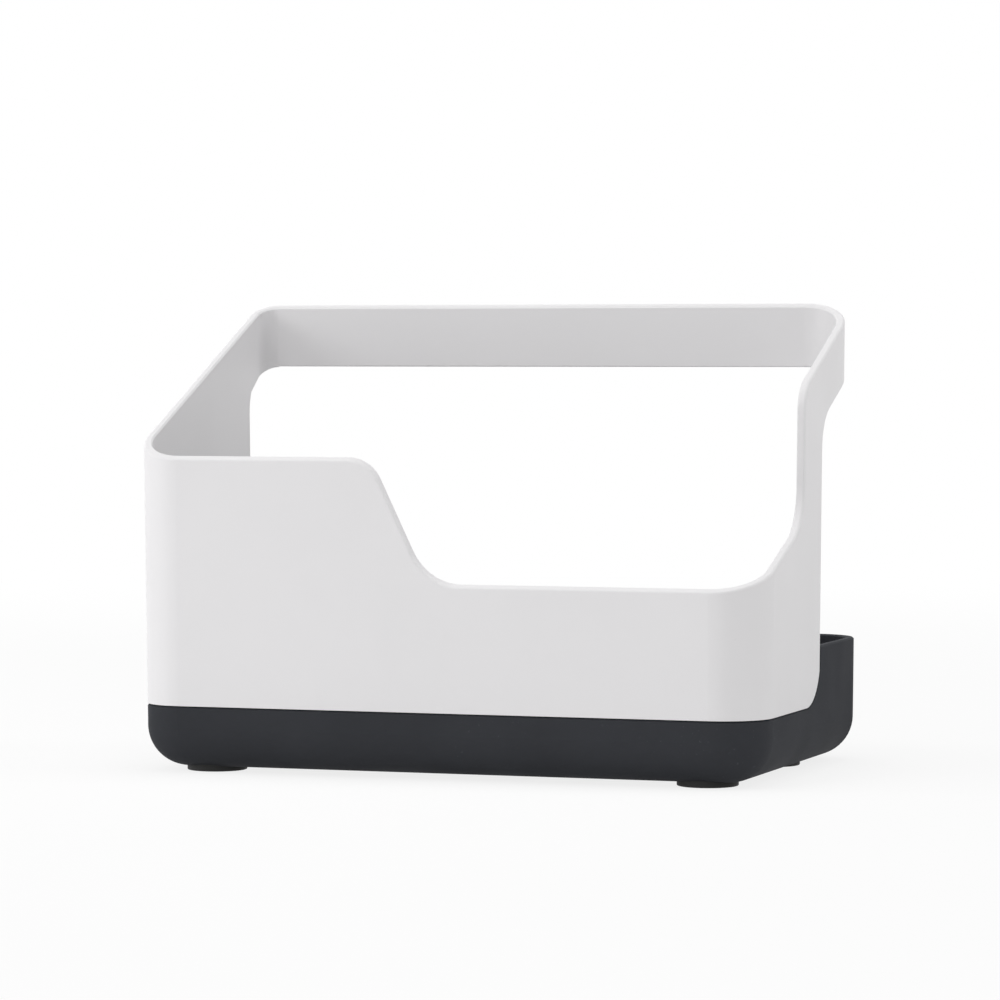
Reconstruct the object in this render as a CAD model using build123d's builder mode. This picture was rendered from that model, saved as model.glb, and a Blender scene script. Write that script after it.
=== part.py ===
from build123d import *
import math
import os

# Kitchen sink caddy: a white sleeve with a sloping rim and a cloth rail stands on a dark drip tray
# with four rubber feet.
# Frame: X to the right, Y from the front to the back, Z up; the origin is under the middle, on the worktop.

# Overall sizes
width = 210.0  # across the sleeve's top
depth = 126.6  # from the front wall's top to the back of the tray
rail_height = 149.5  # top of the cloth rail, over the worktop
front_height = 99.6  # top of the front wall
lean_angle = 0.62  # degrees by which every upright wall leans outwards
corner_radius = 17.3  # plan corners, at the height of the rail
left_rear_radius = 8.0  # plan corner of the sleeve at the left end of the rail

# Sleeve
wall = 2.75
rail_reach = 112.1  # from the front face back to the outside of the rail
band_height = 20.0  # upright height of the rail and of the sloping bands beside it
dip_height = 60.4  # lowest part of the front rim
dip_rise = 19.3  # from there up to the foot of the right wall's free edge
flank_top = -22.4  # X of the dip's slanted flank, at the front wall's top
flank_foot = -3.7  # X of the same flank, at the dip's floor
flank_head_round = 11.7
flank_foot_round = 18.0
pillar_front = 50.6  # right wall's free front edge, behind the front face
pillar_foot_round = 17.0
pillar_head_round = 11.0
right_edge = 71.7  # right wall's rear edge, behind the front face
left_edge = 96.2  # left wall's rear edge
right_head_round = 14.0  # from a rear edge into the sloping band
left_head_round = 15.0
rim_round = 0.8  # outer arris of the rim
rim_lead = 0.5  # inner arris

# Tray
seam_height = 21.2  # tray's rim at the front and the sides
trough_height = 40.2  # tray's rim behind the sleeve
swoop_round = 15.5  # sleeve's lower rear corners, which the tray follows
base_round = 13.2  # between the tray's floor and its walls
tray_wall = 2.6
tray_rim_lead = 0.5  # both arrises of the rim
seam_gap = 0.3  # between the sleeve and the tray, all along the seam

# Tongue of the tray inside the sleeve's wall
skin = 1.2  # outer leaf of the sleeve's wall beside the tongue
tongue_gap = 0.3
tongue_height = 5.0
tongue_lead = 0.3

# Drainage ribs on the tray's floor
rib_width = 2.0
rib_height = 3.0
rib_length = 38.0
rib_pitch = 20.0
rib_break = 9.0  # gap between the front and the back ribs
rib_count = 9
rib_lead = 0.5

# Feet
foot_radius = 9.6
foot_drop = 1.5  # how far a foot stands out under the tray
foot_seat = 1.2  # depth of the recess that holds it
foot_play = 0.1
foot_side = 23.0  # from the tray's side to a foot's centre
foot_front = 20.0  # from the front face to a front foot's centre
foot_span = 70.3  # from a front foot to the rear foot behind it

overrun = 20.0  # how far cuts run past the walls
touch = 0.001  # an edge this close to a cut's surface lies on it

# Places worked out from the sizes
lean = math.tan(math.radians(lean_angle))
front = -depth / 2 - lean * (rail_height - front_height)
back = depth / 2 + lean * (rail_height - trough_height)
slope = (rail_height - front_height) / rail_reach
base_height = foot_drop
sleeve_foot = seam_height + seam_gap
tongue_top = seam_height + tongue_height
tongue_root = seam_height - 2 * tray_rim_lead
floor_height = base_height + tray_wall
sky = rail_height + 3 * overrun


def leaning_block(reach, left_radius, inset, foot, head):
    """Block within a wall's plan outline, moved inwards by an inset, whose sides lean outwards."""
    with BuildPart() as block:
        with BuildSketch(Plane.XY.offset(foot)) as outline:
            with Locations((0, front + reach / 2)):
                Rectangle(width - 2 * inset, reach - 2 * inset)
            fillet(outline.vertices().group_by(Axis.Y)[0], corner_radius - inset)
            fillet(outline.vertices().group_by(Axis.Y)[-1].sort_by(Axis.X)[0], left_radius - inset)
            fillet(outline.vertices().group_by(Axis.Y)[-1].sort_by(Axis.X)[-1], corner_radius - inset)
        extrude(amount=head - foot)
        draft(block.faces().sort_by(Axis.Z)[1:-1], Plane.XY.offset(rail_height), -lean_angle)
    return block.part


def sleeve_block(inset, foot, head):
    """Block within the sleeve's wall."""
    return leaning_block(rail_reach, left_rear_radius, inset, foot, head)


def tray_block(inset, foot, head):
    """Block within the tray's wall, in line with the sleeve's at the front and the sides."""
    return leaning_block(back - front, corner_radius, inset, foot, head)


def slanted(reach, height):
    """Height of a line that passes the front face at a height and rises with the rim."""
    return height + slope * reach


def dip_floor(reach):
    """Height of the dip's floor at a distance behind the front face."""
    return dip_height + dip_rise * reach / pillar_front


def side_area(points, rounds):
    """Area seen from the side, with a round at each numbered point that has one."""
    with BuildSketch(Plane.YZ) as area:
        with BuildLine():
            Polyline(*[(front + reach, height) for reach, height in points], close=True)
        make_face()
        for number, radius in rounds.items():
            reach, height = points[number]
            corner = area.vertices().sort_by_distance((front + reach, height))[0]
            fillet(corner, radius)
    return area.sketch


def behind_edge(edge, head_round):
    """Side view of the space behind a side wall's rear edge, up to the sloping band."""
    head = front_height - band_height
    far = rail_reach + overrun
    points = [
        (edge, -overrun),
        (edge, slanted(edge, head)),
        (far, slanted(far, head)),
        (far, -overrun),
    ]
    return side_area(points, {1: head_round})


def under_corner(edge):
    """Side view of what the swoop takes off a side wall's lower rear corner."""
    points = [
        (-overrun, sleeve_foot),
        (edge, sleeve_foot),
        (edge, front_height),
        (edge + overrun, front_height),
        (edge + overrun, -overrun),
        (-overrun, -overrun),
    ]
    return side_area(points, {1: swoop_round})


def over_tray(edge):
    """Side view of the space over the tray, on the side whose sleeve wall ends at an edge."""
    seat = edge + seam_gap
    far = back - front + overrun
    points = [
        (-overrun, seam_height),
        (seat, seam_height),
        (seat, trough_height),
        (far, trough_height),
        (far, rail_height),
        (-overrun, rail_height),
    ]
    return side_area(points, {1: swoop_round + seam_gap})


def beside_tongue(edge, end_gap):
    """Side view of the level stretch along which the tongue, or its groove, runs."""
    end = edge - swoop_round - end_gap
    points = [
        (-overrun, -overrun),
        (end, -overrun),
        (end, front_height),
        (-overrun, front_height),
    ]
    return side_area(points, {})


def level_stretch(end_gap):
    """Blocks over the level part of the seam, left and right."""
    with BuildPart() as stretch:
        extrude(beside_tongue(right_edge, end_gap), amount=width)
        extrude(beside_tongue(left_edge, end_gap), amount=-width)
    return stretch.part


def foot_at(side, place):
    """A rubber foot in its recess under the tray."""
    with BuildPart() as foot:
        with BuildSketch():
            with Locations((side, place)):
                Circle(foot_radius)
        extrude(amount=foot_drop + foot_seat)
    return foot.part


def edges_between(part, first, second):
    """Edges of a part along which the faces of two blocks meet."""
    first_skin = Shell(first.faces())
    second_skin = Shell(second.faces())
    on_first = part.edges().filter_by(lambda edge: first_skin.distance_to(edge @ 0.5) < touch)
    return on_first.filter_by(lambda edge: second_skin.distance_to(edge @ 0.5) < touch)


# Space over the dip in the front wall, with its slanted flank
with BuildPart() as front_dip:
    flank_run = (flank_foot - flank_top) / (front_height - dip_height)
    with BuildSketch(Plane.XZ.offset(overrun - front)) as front_view:
        high = slanted(-overrun, front_height)
        deep = slanted(-overrun, 0)
        with BuildLine():
            Polyline(
                (-width, high),
                (flank_top, high),
                (flank_foot + flank_run * dip_height, deep),
                (width, deep),
                (width, sky),
                (-width, sky),
                close=True,
            )
        make_face()
        fillet(front_view.vertices().sort_by_distance((flank_top, high))[0], flank_head_round)
    extrude(amount=2 * overrun, dir=(0, 1, slope))
    ahead = -2 * overrun
    floor_points = [
        (ahead, dip_floor(ahead)),
        (pillar_front, dip_floor(pillar_front)),
        (pillar_front, sky + pillar_front),
        (ahead, sky + pillar_front),
    ]
    extrude(side_area(floor_points, {}), amount=width, both=True, mode=Mode.INTERSECT)
    fillet(front_dip.edges().sort_by_distance((flank_foot, front, dip_height))[0], flank_foot_round)

# Space over the right wall: the dip's floor, the free edge and the slope behind it
with BuildPart() as side_dip:
    behind = rail_reach + overrun
    side_points = [
        (ahead, dip_floor(ahead)),
        (pillar_front, dip_floor(pillar_front)),
        (pillar_front, slanted(pillar_front, front_height)),
        (behind, slanted(behind, front_height)),
        (behind, sky),
        (ahead, sky),
    ]
    side_view = side_area(side_points, {1: pillar_foot_round, 2: pillar_head_round})
    extrude(side_view, amount=width)
    split(bisect_by=Plane.YZ.offset(width / 4), keep=Keep.TOP)

# Space over the whole rim
with BuildPart() as rim_cut:
    slope_points = [
        (ahead, slanted(ahead, front_height)),
        (behind, slanted(behind, front_height)),
        (behind, sky),
        (ahead, sky),
    ]
    extrude(side_area(slope_points, {}), amount=width, both=True)
    add(front_dip.part)
    add(side_dip.part)

# Space behind the side walls and under the rail
with BuildPart() as gap_cut:
    extrude(behind_edge(right_edge, right_head_round), amount=width)
    extrude(behind_edge(left_edge, left_head_round), amount=-width)

# Groove in the sleeve's wall that drops over the tray's tongue
with BuildPart() as groove:
    add(sleeve_block(skin, sleeve_foot, tongue_top))
    add(level_stretch(0), mode=Mode.INTERSECT)

sleeve_outside = sleeve_block(0, sleeve_foot, rail_height + overrun)
sleeve_inside = sleeve_block(wall, sleeve_foot, rail_height + overrun)

with BuildPart() as sleeve:
    add(sleeve_outside)
    add(rim_cut.part, mode=Mode.SUBTRACT)
    fillet(edges_between(sleeve.part, sleeve_outside, rim_cut.part), rim_round)
    add(gap_cut.part, mode=Mode.SUBTRACT)
    fillet(edges_between(sleeve.part, sleeve_outside, gap_cut.part), rim_round)
    add(sleeve_inside, mode=Mode.SUBTRACT)
    chamfer(edges_between(sleeve.part, sleeve_inside, rim_cut.part), rim_lead)
    chamfer(edges_between(sleeve.part, sleeve_inside, gap_cut.part), rim_lead)
    extrude(under_corner(right_edge), amount=width, mode=Mode.SUBTRACT)
    extrude(under_corner(left_edge), amount=-width, mode=Mode.SUBTRACT)
    add(groove.part, mode=Mode.SUBTRACT)
sleeve.part.label = "sleeve"

# Hollow of the tray
with BuildPart() as trough:
    hollow_round = base_round - tray_wall
    add(tray_block(tray_wall, floor_height, trough_height + overrun))
    fillet(trough.faces().sort_by(Axis.Z)[0].edges(), hollow_round)

# Space over the tray's rim, on both sides
with BuildPart() as tray_cut:
    extrude(over_tray(right_edge), amount=width)
    extrude(over_tray(left_edge), amount=-width)

# Tongue that stands up inside the sleeve's wall
with BuildPart() as tongue:
    add(tray_block(skin + tongue_gap, tongue_root, tongue_top))
    add(tray_block(tray_wall, tongue_root, tongue_top), mode=Mode.SUBTRACT)
    chamfer(tongue.faces().sort_by(Axis.Z)[-1].edges(), tongue_lead)
    add(level_stretch(tongue_gap), mode=Mode.INTERSECT)

# Ribs that keep what stands in the tray out of the water
with BuildPart() as ribs:
    with BuildSketch(Plane.XY.offset(floor_height)):
        with Locations((0, (front + back) / 2)):
            with GridLocations(rib_pitch, rib_length + rib_break, rib_count, 2):
                Rectangle(rib_width, rib_length)
    extrude(amount=rib_height)
    chamfer(ribs.faces().group_by(Axis.Z)[-1].edges(), rib_lead)

# Places of the feet: side to side, and front to back
foot_places = {
    "foot_front_left": (foot_side - width / 2, front + foot_front),
    "foot_front_right": (width / 2 - foot_side, front + foot_front),
    "foot_rear_left": (foot_side - width / 2, front + foot_front + foot_span),
    "foot_rear_right": (width / 2 - foot_side, front + foot_front + foot_span),
}

tray_outside = tray_block(0, base_height, trough_height + overrun)

with BuildPart() as tray:
    add(tray_outside)
    fillet(tray.faces().sort_by(Axis.Z)[0].edges(), base_round)
    add(tray_cut.part, mode=Mode.SUBTRACT)
    chamfer(edges_between(tray.part, tray_outside, tray_cut.part), tray_rim_lead)
    add(trough.part, mode=Mode.SUBTRACT)
    chamfer(edges_between(tray.part, trough.part, tray_cut.part), tray_rim_lead)
    add(tongue.part)
    add(ribs.part)
    with BuildSketch(Plane.XY.offset(base_height)):
        with Locations(*foot_places.values()):
            Circle(foot_radius + foot_play)
    extrude(amount=foot_seat, mode=Mode.SUBTRACT)
tray.part.label = "tray"

feet = []
for name, (side, place) in foot_places.items():
    foot = foot_at(side, place)
    foot.label = name
    feet.append(foot)

os.makedirs("parts", exist_ok=True)
for piece in [sleeve.part, tray.part, *feet]:
    export_step(piece, "parts/" + piece.label + ".step")
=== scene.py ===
"""Looks of the kitchen sink caddy: moulded plastic, rubber feet, studio and camera."""
import math

import bmesh
import bpy
from mathutils import Matrix, Vector


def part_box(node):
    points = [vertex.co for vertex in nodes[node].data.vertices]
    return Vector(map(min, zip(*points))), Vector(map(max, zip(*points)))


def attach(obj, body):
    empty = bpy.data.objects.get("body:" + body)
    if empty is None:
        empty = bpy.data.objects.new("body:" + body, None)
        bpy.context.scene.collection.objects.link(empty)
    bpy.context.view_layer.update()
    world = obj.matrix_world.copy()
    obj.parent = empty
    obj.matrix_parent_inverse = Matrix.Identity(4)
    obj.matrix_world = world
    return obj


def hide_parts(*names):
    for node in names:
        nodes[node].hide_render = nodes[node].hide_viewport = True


bl_info = {
    "name": "Kitchen sink caddy",
    "version": (1, 0, 0),
    "blender": (4, 5, 0),
    "location": "3D View > Sidebar > Sink caddy",
    "description": "Finishes the sleeve, the drip tray and the rubber feet of a kitchen sink caddy",
    "category": "Object",
}

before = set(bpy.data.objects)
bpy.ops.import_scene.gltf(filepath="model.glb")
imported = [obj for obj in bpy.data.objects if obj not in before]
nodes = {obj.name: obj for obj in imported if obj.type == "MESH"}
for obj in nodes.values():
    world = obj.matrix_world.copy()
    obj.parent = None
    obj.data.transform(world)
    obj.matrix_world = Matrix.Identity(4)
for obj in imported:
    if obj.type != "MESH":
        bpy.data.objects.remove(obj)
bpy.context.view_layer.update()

FEET = ("foot_front_left", "foot_front_right", "foot_rear_left", "foot_rear_right")
front_foot_low, front_foot_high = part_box("foot_front_left")
rear_foot_low, rear_foot_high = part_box("foot_rear_right")
FOOT_RADIUS = (front_foot_high.x - front_foot_low.x) / 2
FOOT_HEIGHT = front_foot_high.z

# Grain and pigment: noise in waves for each metre, and what each part of the grain adds
GRAIN_PER_METRE = 2600.0
COARSE_TO_FINE = 0.31
FINE_SHARE = 0.65
COARSE_SHARE = 0.35
WAVES_PER_METRE = 38.0
CLOUDS_PER_METRE = 24.0
SPECKS_PER_METRE = 900.0
PATCHES_PER_METRE = 15.0

# The sleeve's mould is polished finer than the tray's
SLEEVE_GRAIN_SHARE = 0.35

# Steps of the haunch: along the straight of the wall, round the plan corner and over its outer edge
STRAIGHT_STEPS = 6
CORNER_STEPS = 30
ARRIS_STEPS = 6
SHARP_ANGLE = math.radians(30)

# Steps of a foot, and half the width of a groove at its mouth and floor as shares of the grooves' spacing
TURN_STEPS = 96
EDGE_STEPS = 3
GROOVE_MOUTH = 0.25
GROOVE_FLOOR = 0.15
MERGE_DISTANCE = 1e-6

# Studio: sensor in millimetres, distances in metres
SENSOR_WIDTH = 36.0
CLIP_START = 0.01
CLIP_END = 100.0
WHITE = (1.0, 1.0, 1.0, 1.0)
LAMP_AIM = Vector((0.0, 0.0, 0.07))

# The floor is seen as part white near the caddy, as far as its shadow reaches, and all white further out
FLOOR_WAVES_PER_METRE = 3.0
SHADOW_REACH = 0.3
WHITE_REACH = 1.1
NEAR_WHITE = 0.82

# Soft lamps: azimuth in degrees from the front to the right, sizes in metres, power in watts
LAMPS = (
    dict(name="lamp_left_back", azimuth=-135.0, distance=1.5, height=0.6, width=0.7, power=1.5),
    dict(name="lamp_left", azimuth=-66.0, distance=1.5, height=0.6, width=0.7, power=6.2),
    dict(name="lamp_front_high", azimuth=-26.0, distance=1.6, height=1.4, width=0.9, power=5.4),
    dict(name="lamp_right_high", azimuth=100.0, distance=1.2, height=1.3, width=0.7, power=4.3),
    dict(name="lamp_top", azimuth=0.0, distance=0.05, height=2.0, width=1.4, power=9.0),
)


# Shader groups that the plastics and the rubber share

def group_nodes(name, inputs, outputs):
    """New shader group with its inputs, their defaults and its outputs."""
    group = bpy.data.node_groups.new(name, "ShaderNodeTree")
    for label, kind, value in inputs:
        group.interface.new_socket(label, in_out="INPUT", socket_type=kind).default_value = value
    for label, kind in outputs:
        group.interface.new_socket(label, in_out="OUTPUT", socket_type=kind)
    entry = group.nodes.new("NodeGroupInput")
    leave = group.nodes.new("NodeGroupOutput")
    return group, entry, leave


def math_node(tree, operation, first, second):
    """Math node fed by sockets or plain numbers."""
    node = tree.nodes.new("ShaderNodeMath")
    node.operation = operation
    for place, value in enumerate((first, second)):
        if isinstance(value, (int, float)):
            node.inputs[place].default_value = value
        else:
            tree.links.new(value, node.inputs[place])
    return node.outputs[0]


def noise_node(tree, vector, scale, detail, roughness=0.5):
    """Noise over the piece, its scale a number or a socket, in waves for each metre."""
    node = tree.nodes.new("ShaderNodeTexNoise")
    node.inputs["Detail"].default_value = detail
    node.inputs["Roughness"].default_value = roughness
    tree.links.new(vector, node.inputs["Vector"])
    if isinstance(scale, (int, float)):
        node.inputs["Scale"].default_value = scale
    else:
        tree.links.new(scale, node.inputs["Scale"])
    return node.outputs["Fac"]


def remap(tree, value, low, high, start, end):
    """Value mapped smoothly from the range low to high onto start to end."""
    node = tree.nodes.new("ShaderNodeMapRange")
    node.interpolation_type = "SMOOTHSTEP"
    node.inputs["From Min"].default_value = low
    node.inputs["From Max"].default_value = high
    node.inputs["To Min"].default_value = start
    node.inputs["To Max"].default_value = end
    tree.links.new(value, node.inputs["Value"])
    return node.outputs["Result"]


def mould_grain_group():
    """Fine spark-eroded grain of a mould, with the slow waviness of a moulded wall."""
    group, entry, leave = group_nodes(
        "mould_grain",
        [
            ("Grain per metre", "NodeSocketFloat", GRAIN_PER_METRE),
            ("Waves per metre", "NodeSocketFloat", WAVES_PER_METRE),
        ],
        [("Grain", "NodeSocketFloat"), ("Waves", "NodeSocketFloat")],
    )
    place = group.nodes.new("ShaderNodeTexCoord").outputs["Object"]
    fine_scale = entry.outputs["Grain per metre"]
    coarse_scale = math_node(group, "MULTIPLY", fine_scale, COARSE_TO_FINE)
    fine = noise_node(group, place, fine_scale, detail=2.0, roughness=0.6)
    coarse = noise_node(group, place, coarse_scale, detail=1.0)
    fine_part = math_node(group, "MULTIPLY", fine, FINE_SHARE)
    coarse_part = math_node(group, "MULTIPLY", coarse, COARSE_SHARE)
    waves = noise_node(group, place, entry.outputs["Waves per metre"], detail=1.5)
    group.links.new(math_node(group, "ADD", fine_part, coarse_part), leave.inputs["Grain"])
    group.links.new(waves, leave.inputs["Waves"])
    return group


def cloudy_tint_group():
    """Faint unevenness of the pigment, and patches of specks of dust and lime."""
    group, entry, leave = group_nodes(
        "cloudy_tint",
        [
            ("Colour", "NodeSocketColor", (0.8, 0.8, 0.8, 1.0)),
            ("Shade", "NodeSocketFloat", 0.03),
            ("Specks", "NodeSocketFloat", 0.02),
        ],
        [("Colour", "NodeSocketColor")],
    )
    place = group.nodes.new("ShaderNodeTexCoord").outputs["Object"]
    cloud_noise = noise_node(group, place, CLOUDS_PER_METRE, detail=3.0)
    speck_noise = noise_node(group, place, SPECKS_PER_METRE, detail=2.0, roughness=0.7)
    patch_noise = noise_node(group, place, PATCHES_PER_METRE, detail=2.0)
    clouds = remap(group, cloud_noise, low=0.35, high=0.65, start=-1.0, end=1.0)
    specks = remap(group, speck_noise, low=0.66, high=0.74, start=0.0, end=1.0)
    patches = remap(group, patch_noise, low=0.5, high=0.68, start=0.0, end=1.0)
    speck_mask = math_node(group, "MULTIPLY", specks, patches)
    cloud_part = math_node(group, "MULTIPLY", clouds, entry.outputs["Shade"])
    speck_part = math_node(group, "MULTIPLY", speck_mask, entry.outputs["Specks"])
    value = math_node(group, "ADD", math_node(group, "ADD", cloud_part, speck_part), 1.0)
    tint = group.nodes.new("ShaderNodeHueSaturation")
    group.links.new(entry.outputs["Colour"], tint.inputs["Color"])
    group.links.new(value, tint.inputs["Value"])
    group.links.new(tint.outputs["Color"], leave.inputs["Colour"])
    return group


def shared_group(name, maker):
    """The group of that name, made on first use."""
    return bpy.data.node_groups.get(name) or maker()


def moulded_material(
    name, colour, *, roughness, spread, specular, grain_scale, grain_height, wave_height, shade, specks,
):
    """Moulded plastic or rubber with grain, waviness, cloudy pigment and uneven gloss."""
    material = bpy.data.materials.new(name)
    material.use_nodes = True
    tree = material.node_tree
    shader = tree.nodes["Principled BSDF"]
    shader.inputs["Specular IOR Level"].default_value = specular

    tint = tree.nodes.new("ShaderNodeGroup")
    tint.node_tree = shared_group("cloudy_tint", cloudy_tint_group)
    tint.inputs["Colour"].default_value = colour
    tint.inputs["Shade"].default_value = shade
    tint.inputs["Specks"].default_value = specks
    tree.links.new(tint.outputs["Colour"], shader.inputs["Base Color"])

    grain = tree.nodes.new("ShaderNodeGroup")
    grain.node_tree = shared_group("mould_grain", mould_grain_group)
    grain.inputs["Grain per metre"].default_value = grain_scale
    waves = grain.outputs["Waves"]
    gloss = remap(tree, waves, low=0.3, high=0.7, start=roughness - spread, end=roughness + spread)
    tree.links.new(gloss, shader.inputs["Roughness"])

    fine_height = math_node(tree, "MULTIPLY", grain.outputs["Grain"], grain_height)
    slow_height = math_node(tree, "MULTIPLY", waves, wave_height)
    bump = tree.nodes.new("ShaderNodeBump")
    bump.inputs["Distance"].default_value = 1.0
    bump.inputs["Strength"].default_value = 1.0
    tree.links.new(math_node(tree, "ADD", fine_height, slow_height), bump.inputs["Height"])
    tree.links.new(bump.outputs["Normal"], shader.inputs["Normal"])
    return material


def dress(obj, material):
    """Gives the whole of an object one material."""
    obj.data.materials.clear()
    obj.data.materials.append(material)


# Sizes and colours of the pieces and of the studio

class CaddyFinish(bpy.types.PropertyGroup):
    """Colours and surface sizes of the caddy."""

    sleeve_colour: bpy.props.FloatVectorProperty(
        name="Sleeve colour", description="Pigment of the sleeve's plastic", subtype="COLOR", size=4,
        min=0.0, max=1.0, default=(0.88, 0.87, 0.88, 1.0),
    )
    tray_colour: bpy.props.FloatVectorProperty(
        name="Tray colour", description="Pigment of the tray's plastic", subtype="COLOR", size=4,
        min=0.0, max=1.0, default=(0.042, 0.044, 0.050, 1.0),
    )
    foot_colour: bpy.props.FloatVectorProperty(
        name="Foot colour", description="Pigment of the feet's rubber", subtype="COLOR", size=4,
        min=0.0, max=1.0, default=(0.012, 0.012, 0.012, 1.0),
    )
    sleeve_roughness: bpy.props.FloatProperty(
        name="Sleeve roughness", description="Roughness of the satin sleeve",
        min=0.0, max=1.0, default=0.42,
    )
    tray_roughness: bpy.props.FloatProperty(
        name="Tray roughness", description="Roughness of the satin tray",
        min=0.0, max=1.0, default=0.7,
    )
    grain_height: bpy.props.FloatProperty(
        name="Grain height", description="Height of the mould's grain", unit="LENGTH",
        min=0.0, max=0.001, precision=6, default=0.00003,
    )


class CaddyHaunch(bpy.types.PropertyGroup):
    """Sizes of the straight haunch between the left wall and the rail."""

    half_width: bpy.props.FloatProperty(
        name="Half width", description="From the middle to the left wall's outside, as high up as the rail",
        unit="LENGTH", default=0.105,
    )
    rail_back: bpy.props.FloatProperty(
        name="Rail back", description="Y of the rail's outside, at its top",
        unit="LENGTH", default=0.04826,
    )
    rail_height: bpy.props.FloatProperty(
        name="Rail height", description="Height of the rail's top", unit="LENGTH", default=0.1495,
    )
    corner_radius: bpy.props.FloatProperty(
        name="Corner radius", description="Plan corner between the left wall and the rail",
        unit="LENGTH", default=0.008,
    )
    wall: bpy.props.FloatProperty(
        name="Wall", description="Thickness of the wall", unit="LENGTH", default=0.00275,
    )
    lean: bpy.props.FloatProperty(
        name="Lean", description="Outward lean of the wall", subtype="ANGLE", default=math.radians(0.62),
    )
    start: bpy.props.FloatVectorProperty(
        name="Start", description="Y and Z where the haunch leaves the round over the wall's rear edge",
        unit="LENGTH", size=2, default=(0.0343, 0.1197),
    )
    end: bpy.props.FloatVectorProperty(
        name="End", description="Y and Z where it meets the rail's underside",
        unit="LENGTH", size=2, default=(0.04551, 0.12795),
    )
    depth: bpy.props.FloatProperty(
        name="Depth", description="Height of the haunch, with the part inside the band",
        unit="LENGTH", default=0.0028,
    )
    arris: bpy.props.FloatProperty(
        name="Arris", description="Round of its outer edge", unit="LENGTH", default=0.0008,
    )
    lead: bpy.props.FloatProperty(
        name="Lead", description="Chamfer of its inner edge", unit="LENGTH", default=0.0005,
    )
    skin: bpy.props.FloatProperty(
        name="Skin", description="How far its faces stand over the wall's",
        unit="LENGTH", precision=6, default=0.00001,
    )


class CaddyFeet(bpy.types.PropertyGroup):
    """Sizes of the rubber feet."""

    radius: bpy.props.FloatProperty(
        name="Radius", description="Radius of a foot", unit="LENGTH", default=FOOT_RADIUS,
    )
    height: bpy.props.FloatProperty(
        name="Height", description="Height of a foot, with the part inside its recess",
        unit="LENGTH", default=FOOT_HEIGHT,
    )
    edge_round: bpy.props.FloatProperty(
        name="Edge round", description="Round between a foot's side and its sole",
        unit="LENGTH", default=0.0004,
    )
    groove_depth: bpy.props.FloatProperty(
        name="Groove depth", description="Depth of the grip grooves in a sole",
        unit="LENGTH", default=0.0004,
    )
    groove_count: bpy.props.IntProperty(
        name="Grooves", description="Number of round grip grooves in a sole", min=0, max=8, default=3,
    )


class CaddyStudio(bpy.types.PropertyGroup):
    """Camera and light of the picture."""

    camera_place: bpy.props.FloatVectorProperty(
        name="Camera place", description="Where the camera stands", subtype="XYZ", unit="LENGTH",
        default=(0.47743, -1.36338, 0.13938),
    )
    camera_azimuth: bpy.props.FloatProperty(
        name="Azimuth", description="Turn of the camera to the object's right",
        subtype="ANGLE", default=math.radians(19.345),
    )
    camera_pitch: bpy.props.FloatProperty(
        name="Pitch", description="Downward tilt of the camera",
        subtype="ANGLE", default=math.radians(2.13),
    )
    camera_roll: bpy.props.FloatProperty(
        name="Roll", description="Roll of the camera", subtype="ANGLE", default=math.radians(0.08),
    )
    lens: bpy.props.FloatProperty(
        name="Lens", description="Focal length in millimetres on a sensor 36 mm wide", default=160.98,
    )
    world_strength: bpy.props.FloatProperty(
        name="Room light", description="Strength of the even light from all sides", default=0.43,
    )
    floor_colour: bpy.props.FloatVectorProperty(
        name="Floor colour", description="Colour of the floor", subtype="COLOR", size=4,
        min=0.0, max=1.0, default=(0.94, 0.94, 0.94, 1.0),
    )
    floor_size: bpy.props.FloatProperty(
        name="Floor size", description="Width of the floor", unit="LENGTH", default=30.0,
    )


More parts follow.
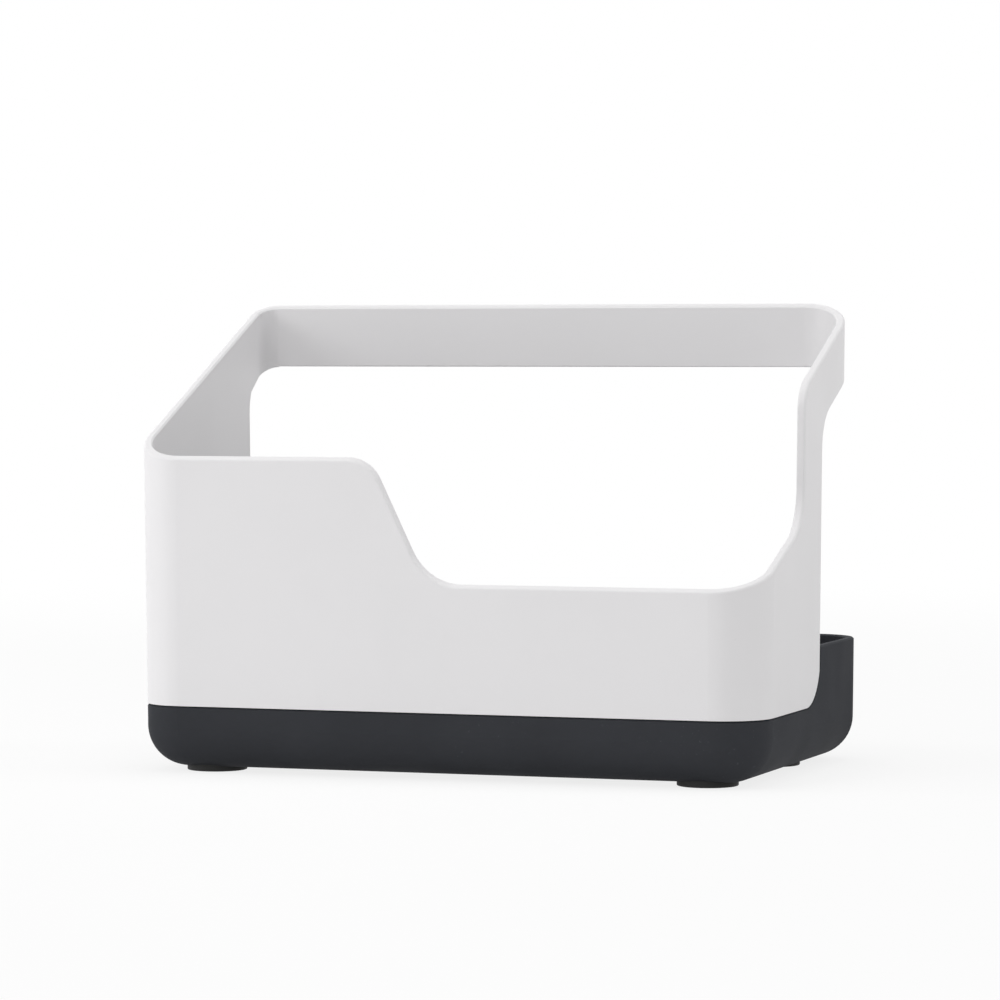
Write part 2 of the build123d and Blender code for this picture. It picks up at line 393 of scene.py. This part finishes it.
class CADDY_OT_studio(bpy.types.Operator):
    """Set up the camera, the soft lamps, the room light and the pale floor"""

    bl_idname = "caddy.studio"
    bl_label = "Studio"

    def execute(self, context):
        studio = context.scene.caddy_studio
        context.scene.view_settings.view_transform = "Standard"
        self.place_camera(context, studio)
        self.light_room(context, studio)
        for lamp in LAMPS:
            self.hang_lamp(context, **lamp)
        self.lay_floor(context, studio)
        return {"FINISHED"}

    def place_camera(self, context, studio):
        """Camera in front of the caddy and to its right, a little above it."""
        data = bpy.data.cameras.new("camera")
        data.sensor_fit = "HORIZONTAL"
        data.sensor_width = SENSOR_WIDTH
        data.lens = studio.lens
        data.clip_start = CLIP_START
        data.clip_end = CLIP_END
        camera = bpy.data.objects.new("camera", data)
        turn = Matrix.Rotation(studio.camera_azimuth, 4, "Z")
        tilt = Matrix.Rotation(math.radians(90) - studio.camera_pitch, 4, "X")
        roll = Matrix.Rotation(-studio.camera_roll, 4, "Z")
        camera.matrix_world = Matrix.Translation(studio.camera_place) @ turn @ tilt @ roll
        context.scene.collection.objects.link(camera)
        context.scene.camera = camera

    def seen_rays(self, tree):
        """1 where the white surroundings are seen: by the camera, in a gloss or through glass."""
        rays = tree.nodes.new("ShaderNodeLightPath")
        seen = math_node(tree, "MAXIMUM", rays.outputs["Is Camera Ray"], rays.outputs["Is Glossy Ray"])
        return math_node(tree, "MAXIMUM", seen, rays.outputs["Is Transmission Ray"])

    def light_room(self, context, studio):
        """Even light from all sides, seen as white."""
        world = bpy.data.worlds.new("white_room")
        world.use_nodes = True
        context.scene.world = world
        tree = world.node_tree
        room = tree.nodes["Background"]
        room.inputs["Color"].default_value = WHITE
        room.inputs["Strength"].default_value = studio.world_strength
        backdrop = tree.nodes.new("ShaderNodeBackground")
        backdrop.inputs["Color"].default_value = WHITE
        backdrop.inputs["Strength"].default_value = 1.0
        mix = tree.nodes.new("ShaderNodeMixShader")
        tree.links.new(self.seen_rays(tree), mix.inputs[0])
        tree.links.new(room.outputs[0], mix.inputs[1])
        tree.links.new(backdrop.outputs[0], mix.inputs[2])
        tree.links.new(mix.outputs[0], tree.nodes["World Output"].inputs["Surface"])

    def hang_lamp(self, context, name, azimuth, distance, height, width, power):
        """Square lamp that looks at the middle of the caddy."""
        data = bpy.data.lights.new(name, "AREA")
        data.shape = "SQUARE"
        data.size = width
        data.energy = power
        turn = math.radians(azimuth)
        place = Vector((math.sin(turn) * distance, -math.cos(turn) * distance, height))
        look = (LAMP_AIM - place).to_track_quat("-Z", "Y").to_matrix().to_4x4()
        lamp = bpy.data.objects.new(name, data)
        lamp.matrix_world = Matrix.Translation(place) @ look
        context.scene.collection.objects.link(lamp)

    def lay_floor(self, context, studio):
        """Flat square floor under the feet."""
        half = studio.floor_size / 2
        mesh = bpy.data.meshes.new("floor")
        corners = [(-half, -half, 0.0), (half, -half, 0.0), (half, half, 0.0), (-half, half, 0.0)]
        mesh.from_pydata(corners, [], [(0, 1, 2, 3)])
        floor = bpy.data.objects.new("floor", mesh)
        context.scene.collection.objects.link(floor)
        dress(floor, self.floor_material(studio))

    def floor_material(self, studio):
        """Pale paint that takes the caddy's shadow, and is seen as white further out."""
        material = bpy.data.materials.new("pale_floor")
        material.use_nodes = True
        tree = material.node_tree
        paint = tree.nodes["Principled BSDF"]
        paint.inputs["Roughness"].default_value = 0.9
        paint.inputs["Specular IOR Level"].default_value = 0.1
        place = tree.nodes.new("ShaderNodeTexCoord").outputs["Object"]
        waves = noise_node(tree, place, FLOOR_WAVES_PER_METRE, detail=2.0)
        shade = remap(tree, waves, low=0.3, high=0.7, start=0.985, end=1.015)
        tint = tree.nodes.new("ShaderNodeHueSaturation")
        tint.inputs["Color"].default_value = studio.floor_colour
        tree.links.new(shade, tint.inputs["Value"])
        tree.links.new(tint.outputs["Color"], paint.inputs["Base Color"])
        white = tree.nodes.new("ShaderNodeEmission")
        white.inputs["Strength"].default_value = 1.0
        reach = tree.nodes.new("ShaderNodeVectorMath")
        reach.operation = "LENGTH"
        tree.links.new(place, reach.inputs[0])
        whiteness = remap(
            tree, reach.outputs["Value"], low=SHADOW_REACH, high=WHITE_REACH, start=NEAR_WHITE, end=1.0,
        )
        mix = tree.nodes.new("ShaderNodeMixShader")
        tree.links.new(math_node(tree, "MULTIPLY", self.seen_rays(tree), whiteness), mix.inputs[0])
        tree.links.new(paint.outputs[0], mix.inputs[1])
        tree.links.new(white.outputs[0], mix.inputs[2])
        tree.links.new(mix.outputs[0], tree.nodes["Material Output"].inputs["Surface"])
        return material


class CADDY_OT_sleeve(bpy.types.Operator):
    """Finish the sleeve in satin white plastic"""

    bl_idname = "caddy.sleeve"
    bl_label = "Sleeve"

    def execute(self, context):
        finish = context.scene.caddy_finish
        material = moulded_material(
            "satin_white_plastic", finish.sleeve_colour,
            roughness=finish.sleeve_roughness, spread=0.03, specular=0.25,
            grain_scale=GRAIN_PER_METRE, grain_height=finish.grain_height * SLEEVE_GRAIN_SHARE,
            wave_height=0.00006, shade=0.006, specks=-0.02,
        )
        dress(nodes["sleeve"], material)
        return {"FINISHED"}


class CADDY_OT_haunch(bpy.types.Operator):
    """Bring the band down to a straight haunch between the left wall and the rail"""

    bl_idname = "caddy.haunch"
    bl_label = "Left haunch"

    def execute(self, context):
        sizes = context.scene.caddy_haunch
        build = bmesh.new()
        rings = [self.section(build, sizes, run) for run in self.runs(sizes)]
        for ring, following in zip(rings, rings[1:]):
            for corner in range(len(ring)):
                before = corner - 1
                build.faces.new((ring[before], ring[corner], following[corner], following[before]))
        build.faces.new(rings[0])
        build.faces.new(rings[-1][::-1])
        bmesh.ops.recalc_face_normals(build, faces=build.faces)
        for face in build.faces:
            face.smooth = True
        mesh = bpy.data.meshes.new("left_haunch")
        build.to_mesh(mesh)
        build.free()
        mesh.set_sharp_from_angle(angle=SHARP_ANGLE)
        haunch = bpy.data.objects.new("left_haunch", mesh)
        context.scene.collection.objects.link(haunch)
        dress(haunch, nodes["sleeve"].data.materials[0])
        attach(haunch, "sleeve")
        return {"FINISHED"}

    def runs(self, sizes):
        """Places along the wall's plan, less than zero before the corner and more in it."""
        first_run = sizes.start[0] - (sizes.rail_back - sizes.corner_radius)
        quarter = math.radians(90) * sizes.corner_radius
        straight = [first_run * (1 - step / STRAIGHT_STEPS) for step in range(STRAIGHT_STEPS)]
        return straight + [quarter * step / CORNER_STEPS for step in range(CORNER_STEPS + 1)]

    def section(self, build, sizes, run):
        """Cross-section of the haunch at one run, from its outer face round to its inner one."""
        slope = (sizes.end[1] - sizes.start[1]) / (sizes.end[0] - sizes.start[0])
        stretch = math.hypot(1.0, slope)
        outline = [(-sizes.skin, sizes.depth)]
        for step in range(ARRIS_STEPS + 1):
            angle = math.radians(90 * step / ARRIS_STEPS)
            inwards = sizes.arris * (1 - math.cos(angle)) - sizes.skin
            outline.append((inwards, sizes.arris * (1 - math.sin(angle)) * stretch))
        outline += [
            (sizes.wall - sizes.lead, 0.0),
            (sizes.wall + sizes.skin, sizes.lead * stretch),
            (sizes.wall + sizes.skin, sizes.depth),
        ]
        verts = []
        for inwards, rise in outline:
            reach = self.place(sizes, run, inwards, sizes.end[1])[1]
            height = sizes.start[1] + slope * (reach - sizes.start[0]) + rise
            verts.append(build.verts.new(self.place(sizes, run, inwards, height)))
        return verts

    def place(self, sizes, run, inwards, height):
        """Point at one run and height, as far inwards from the leaning wall's outside."""
        shift = math.tan(sizes.lean) * (sizes.rail_height - height)
        middle_x = shift + sizes.corner_radius - sizes.half_width
        middle_y = sizes.rail_back - sizes.corner_radius - shift
        radius = sizes.corner_radius - inwards
        if run < 0:
            return middle_x - radius, middle_y + run, height
        angle = run / sizes.corner_radius
        return middle_x - radius * math.cos(angle), middle_y + radius * math.sin(angle), height


class CADDY_OT_tray(bpy.types.Operator):
    """Finish the drip tray in satin charcoal plastic"""

    bl_idname = "caddy.tray"
    bl_label = "Drip tray"

    def execute(self, context):
        finish = context.scene.caddy_finish
        material = moulded_material(
            "satin_charcoal_plastic", finish.tray_colour,
            roughness=finish.tray_roughness, spread=0.04, specular=0.06,
            grain_scale=2200.0, grain_height=finish.grain_height,
            wave_height=0.00008, shade=0.05, specks=0.5,
        )
        dress(nodes["tray"], material)
        return {"FINISHED"}


class CADDY_OT_feet(bpy.types.Operator):
    """Set one turned rubber foot with grip grooves at each corner of the tray"""

    bl_idname = "caddy.feet"
    bl_label = "Rubber feet"

    def execute(self, context):
        sizes = context.scene.caddy_feet
        finish = context.scene.caddy_finish
        material = moulded_material(
            "black_rubber", finish.foot_colour,
            roughness=0.62, spread=0.04, specular=0.4,
            grain_scale=3200.0, grain_height=finish.grain_height,
            wave_height=0.00003, shade=0.06, specks=0.8,
        )
        mesh = bpy.data.meshes.new("rubber_feet")
        self.turn_foot(mesh, sizes)
        feet = bpy.data.objects.new("rubber_feet", mesh)
        context.scene.collection.objects.link(feet)
        first = (front_foot_low + front_foot_high) / 2
        last = (rear_foot_low + rear_foot_high) / 2
        tree = self.corner_tree()
        modifier = feet.modifiers.new("corners", "NODES")
        modifier.node_group = tree
        values = {
            "Across": abs(last.x - first.x),
            "Front to back": abs(last.y - first.y),
            "Middle": ((first.x + last.x) / 2, (first.y + last.y) / 2, 0.0),
            "Material": material,
        }
        for item in tree.interface.items_tree:
            if item.item_type == "SOCKET" and item.in_out == "INPUT" and item.name in values:
                modifier[item.identifier] = values[item.name]
        context.view_layer.update()
        graph = context.evaluated_depsgraph_get()
        made = bpy.data.meshes.new_from_object(feet.evaluated_get(graph))
        feet.modifiers.remove(modifier)
        feet.data = made
        made.name = "rubber_feet"
        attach(feet, "base")
        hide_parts(*FEET)
        return {"FINISHED"}

    def turn_foot(self, mesh, sizes):
        """One foot, turned from its half section."""
        edge, deep = sizes.edge_round, sizes.groove_depth
        section = [(0.0, sizes.height), (sizes.radius, sizes.height), (sizes.radius, edge)]
        for step in range(1, EDGE_STEPS + 1):
            angle = math.radians(90 * step / EDGE_STEPS)
            section.append((sizes.radius - edge * (1 - math.cos(angle)), edge * (1 - math.sin(angle))))
        spacing = (sizes.radius - edge) / (sizes.groove_count + 1)
        for ring in range(sizes.groove_count, 0, -1):
            middle = ring * spacing
            section += [
                (middle + GROOVE_MOUTH * spacing, 0.0),
                (middle + GROOVE_FLOOR * spacing, deep),
                (middle - GROOVE_FLOOR * spacing, deep),
                (middle - GROOVE_MOUTH * spacing, 0.0),
            ]
        section.append((0.0, 0.0))
        build = bmesh.new()
        verts = [build.verts.new((x, 0.0, z)) for x, z in section]
        edges = [build.edges.new(pair) for pair in zip(verts, verts[1:])]
        bmesh.ops.spin(
            build, geom=verts + edges, cent=(0.0, 0.0, 0.0), axis=(0.0, 0.0, 1.0),
            angle=math.radians(360), steps=TURN_STEPS, use_merge=True,
        )
        bmesh.ops.remove_doubles(build, verts=build.verts, dist=MERGE_DISTANCE)
        bmesh.ops.recalc_face_normals(build, faces=build.faces)
        build.to_mesh(mesh)
        build.free()

    def corner_tree(self):
        """Geometry nodes that stand the foot at the four corners of a rectangle."""
        tree = bpy.data.node_groups.new("feet_at_corners", "GeometryNodeTree")
        inputs = (
            ("Geometry", "NodeSocketGeometry"),
            ("Across", "NodeSocketFloat"),
            ("Front to back", "NodeSocketFloat"),
            ("Middle", "NodeSocketVector"),
            ("Material", "NodeSocketMaterial"),
        )
        for label, kind in inputs:
            tree.interface.new_socket(label, in_out="INPUT", socket_type=kind)
        tree.interface.new_socket("Geometry", in_out="OUTPUT", socket_type="NodeSocketGeometry")
        entry = tree.nodes.new("NodeGroupInput")
        leave = tree.nodes.new("NodeGroupOutput")
        corners = tree.nodes.new("GeometryNodeMeshGrid")
        corners.inputs["Vertices X"].default_value = 2
        corners.inputs["Vertices Y"].default_value = 2
        tree.links.new(entry.outputs["Across"], corners.inputs["Size X"])
        tree.links.new(entry.outputs["Front to back"], corners.inputs["Size Y"])
        shift = tree.nodes.new("GeometryNodeTransform")
        tree.links.new(corners.outputs["Mesh"], shift.inputs["Geometry"])
        tree.links.new(entry.outputs["Middle"], shift.inputs["Translation"])
        stand = tree.nodes.new("GeometryNodeInstanceOnPoints")
        tree.links.new(shift.outputs["Geometry"], stand.inputs["Points"])
        tree.links.new(entry.outputs["Geometry"], stand.inputs["Instance"])
        real = tree.nodes.new("GeometryNodeRealizeInstances")
        tree.links.new(stand.outputs["Instances"], real.inputs["Geometry"])
        paint = tree.nodes.new("GeometryNodeSetMaterial")
        tree.links.new(real.outputs["Geometry"], paint.inputs["Geometry"])
        tree.links.new(entry.outputs["Material"], paint.inputs["Material"])
        tree.links.new(paint.outputs["Geometry"], leave.inputs["Geometry"])
        return tree


SETTINGS = {
    "caddy_finish": CaddyFinish,
    "caddy_haunch": CaddyHaunch,
    "caddy_feet": CaddyFeet,
    "caddy_studio": CaddyStudio,
}
OPERATORS = (CADDY_OT_studio, CADDY_OT_sleeve, CADDY_OT_haunch, CADDY_OT_tray, CADDY_OT_feet)


class CADDY_PT_panel(bpy.types.Panel):
    """Lists the caddy's pieces and their sizes"""

    bl_idname = "CADDY_PT_panel"
    bl_label = "Sink caddy"
    bl_space_type = "VIEW_3D"
    bl_region_type = "UI"
    bl_category = "Sink caddy"

    def draw(self, context):
        layout = self.layout
        for group in SETTINGS:
            box = layout.box()
            box.label(text=group.removeprefix("caddy_").capitalize())
            settings = getattr(context.scene, group)
            for name in settings.__annotations__:
                box.prop(settings, name)
        for operator in OPERATORS:
            layout.operator(operator.bl_idname)


def register():
    """Registers the sizes, the operators and the panel."""
    for kind in (*SETTINGS.values(), *OPERATORS, CADDY_PT_panel):
        bpy.utils.register_class(kind)
    for name, kind in SETTINGS.items():
        setattr(bpy.types.Scene, name, bpy.props.PointerProperty(type=kind))


def unregister():
    """Takes all of it out again."""
    for name in SETTINGS:
        delattr(bpy.types.Scene, name)
    for kind in (CADDY_PT_panel, *reversed(OPERATORS), *SETTINGS.values()):
        bpy.utils.unregister_class(kind)


def main():
    """Makes the whole picture."""
    register()
    bpy.ops.caddy.studio()
    bpy.ops.caddy.sleeve()
    bpy.ops.caddy.haunch()
    bpy.ops.caddy.tray()
    bpy.ops.caddy.feet()


if __name__ == "__main__":
    main()
